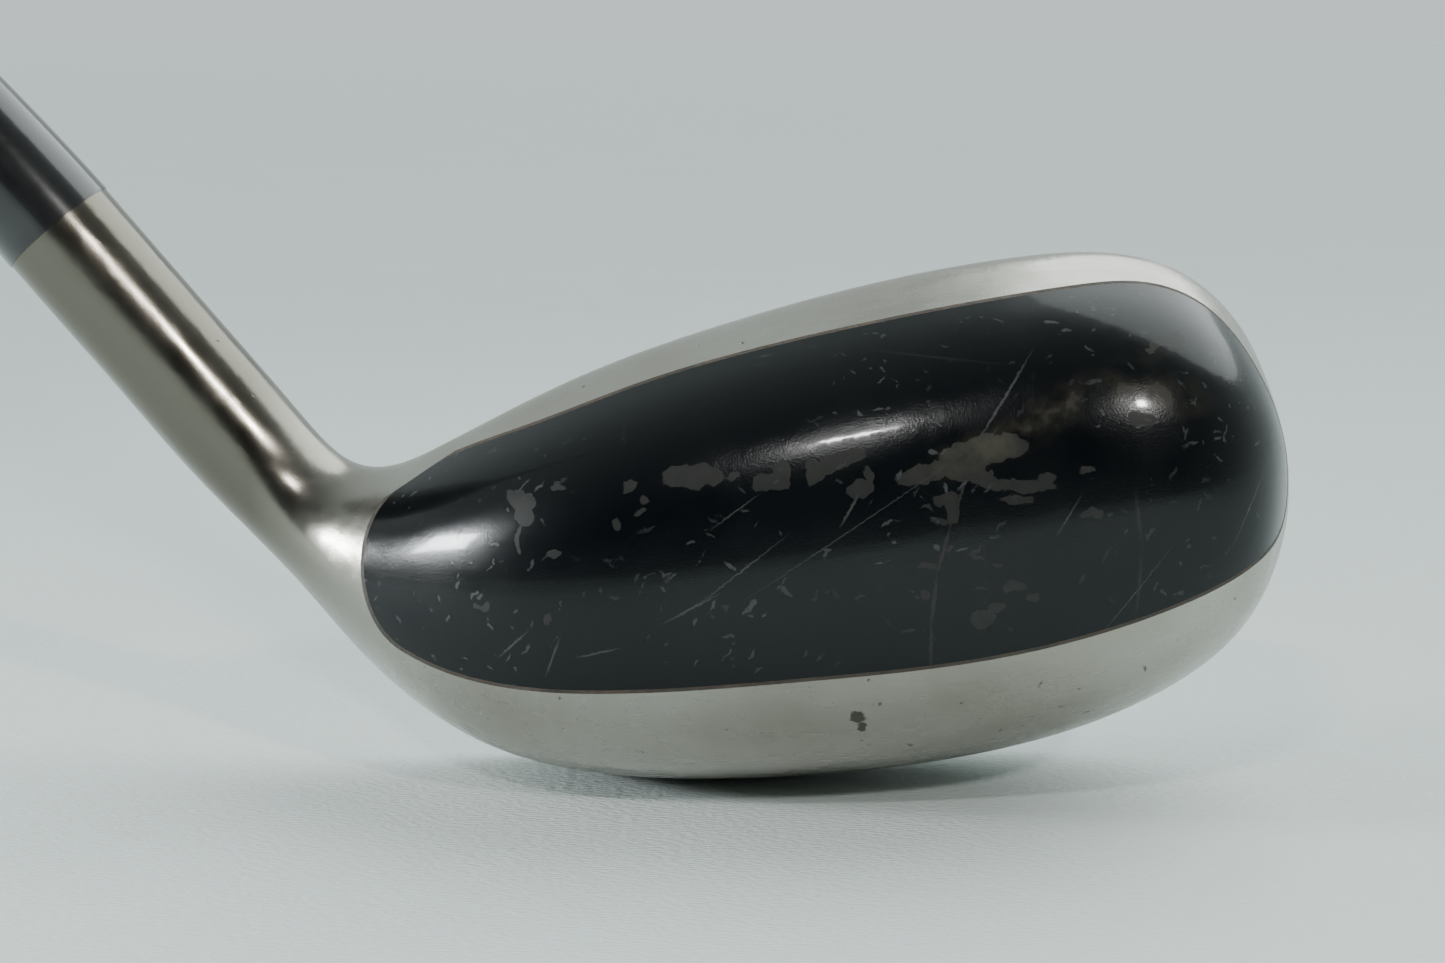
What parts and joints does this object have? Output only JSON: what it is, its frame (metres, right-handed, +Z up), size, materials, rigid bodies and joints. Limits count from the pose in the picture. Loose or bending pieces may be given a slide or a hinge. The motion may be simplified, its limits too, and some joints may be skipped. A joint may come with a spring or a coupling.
{
  "type": "hybrid golf club",
  "caption": "Hybrid golf club: hollow steel head with black painted back, satin hosel and sole, black ferrule, graphite shaft and rubber grip.",
  "frame": {"origin": "point of the sole that touches the ground", "axes": "+X along the ground from heel to toe, +Y towards the target (out of the face), +Z up"},
  "size_m": [0.7363, 0.0518, 0.7732],
  "materials": {
    "satin_steel": "satin, fine brushed grain",
    "weld_steel": "ground weld",
    "black_paint": "gloss black with chips and scratches",
    "weld_dark": "dark joint line",
    "slug_steel": "turned",
    "hot_melt": "tacky glue",
    "brass": "turned",
    "epoxy": "cured adhesive",
    "ferrule_black": "polished",
    "graphite": "clear-coated",
    "band_grey": "clear-coated",
    "masking_tape": "creped paper",
    "white_tape": "paper",
    "grip_rubber": "matt, textured"
  },
  "bodies": {
    "root": {"head_casting": "satin_steel", "face_plate": "satin_steel", "face_weld": "weld_steel", "back_cover": "black_paint", "back_cover_weld": "weld_dark", "toe_weight": "slug_steel", "heel_weight": "slug_steel", "hot_melt": "hot_melt", "tip_weight": "brass", "epoxy_sleeve": "epoxy", "ferrule": "ferrule_black", "shaft": "graphite", "shaft_band": "band_grey", "build_up_tape": "masking_tape", "grip_tape": "white_tape", "grip_sleeve": "grip_rubber", "grip_cap": "grip_rubber"}
  },
  "joints": []
}
